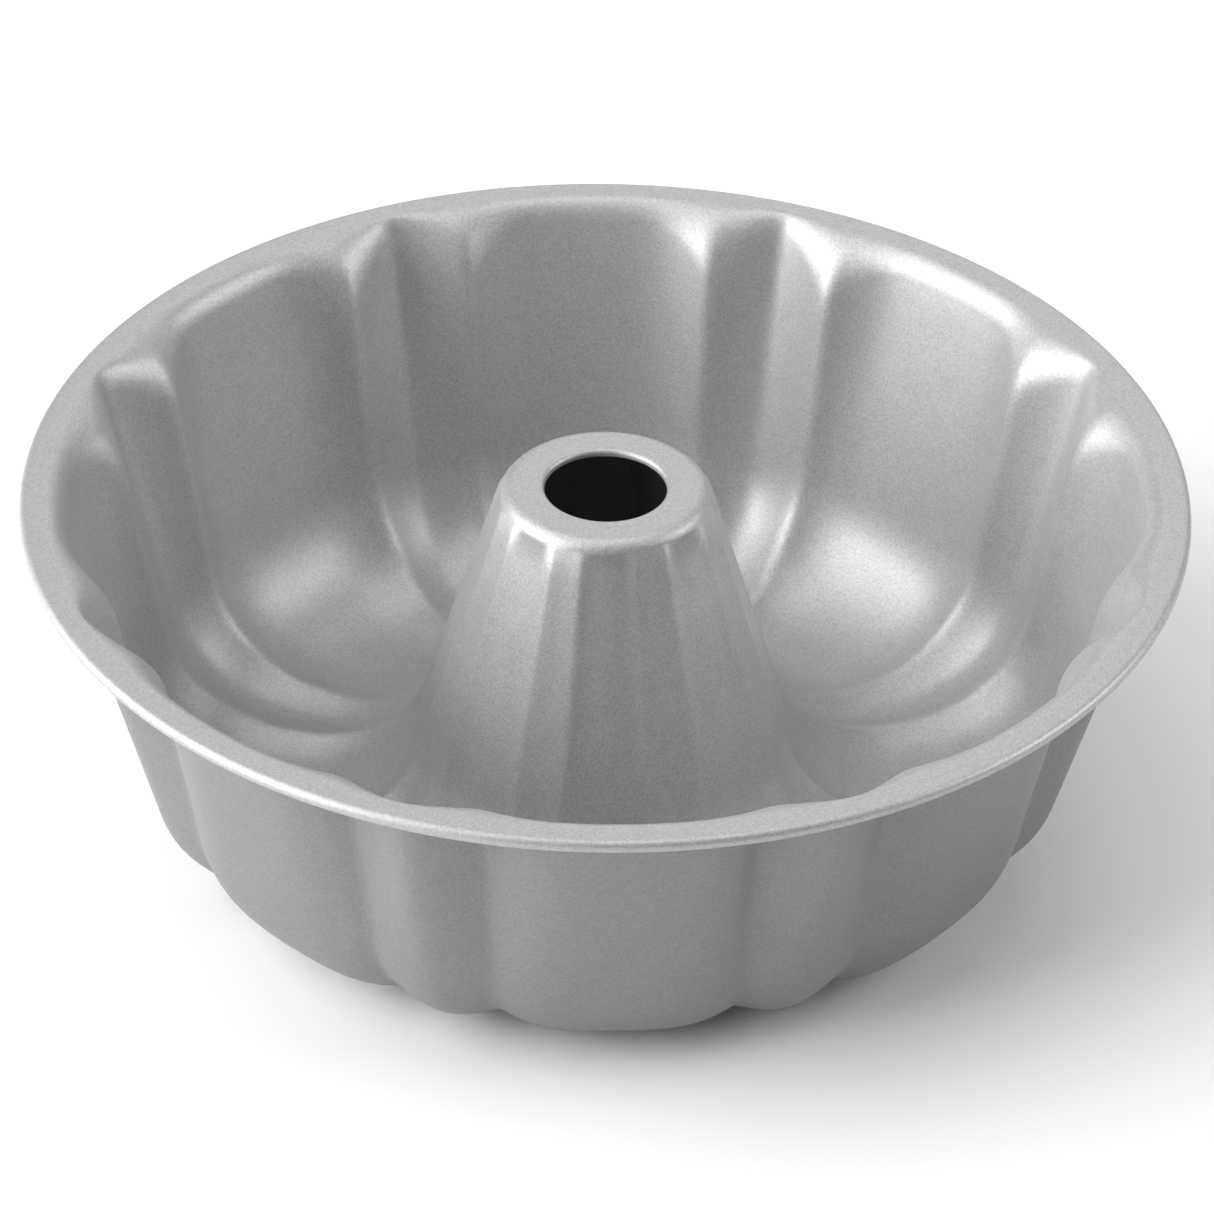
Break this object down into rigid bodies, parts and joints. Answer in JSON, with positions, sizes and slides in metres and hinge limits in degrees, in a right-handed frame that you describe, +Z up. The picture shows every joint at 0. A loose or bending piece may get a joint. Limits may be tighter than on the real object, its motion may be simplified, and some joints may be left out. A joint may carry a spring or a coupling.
{
  "type": "fluted tube pan",
  "caption": "Fluted ring-cake pan of pressed sheet steel with a hollow centre cone, broad lobes with narrow ribs between them, a wide flat rim and a rolled edge.",
  "frame": {"origin": "centre of the pan at the height of the surface it stands on", "axes": "+Z up along the axis of the cone; a lobe is centred on each of +X, +Y, -X and -Y"},
  "size_m": [0.262, 0.262, 0.086],
  "materials": {
    "sheet_steel": "cold-rolled sheet under the coats",
    "wire_steel": "drawn wire, hidden in the rolled rim",
    "inner_coating": "satin metallic grey release coat with fine flake",
    "outer_coating": "satin metallic grey coat with fine flake"
  },
  "bodies": {
    "root": {"steel_shell": "sheet_steel", "rim_wire": "wire_steel", "inner_nonstick_coating": "inner_coating", "outer_coating": "outer_coating"}
  },
  "joints": []
}
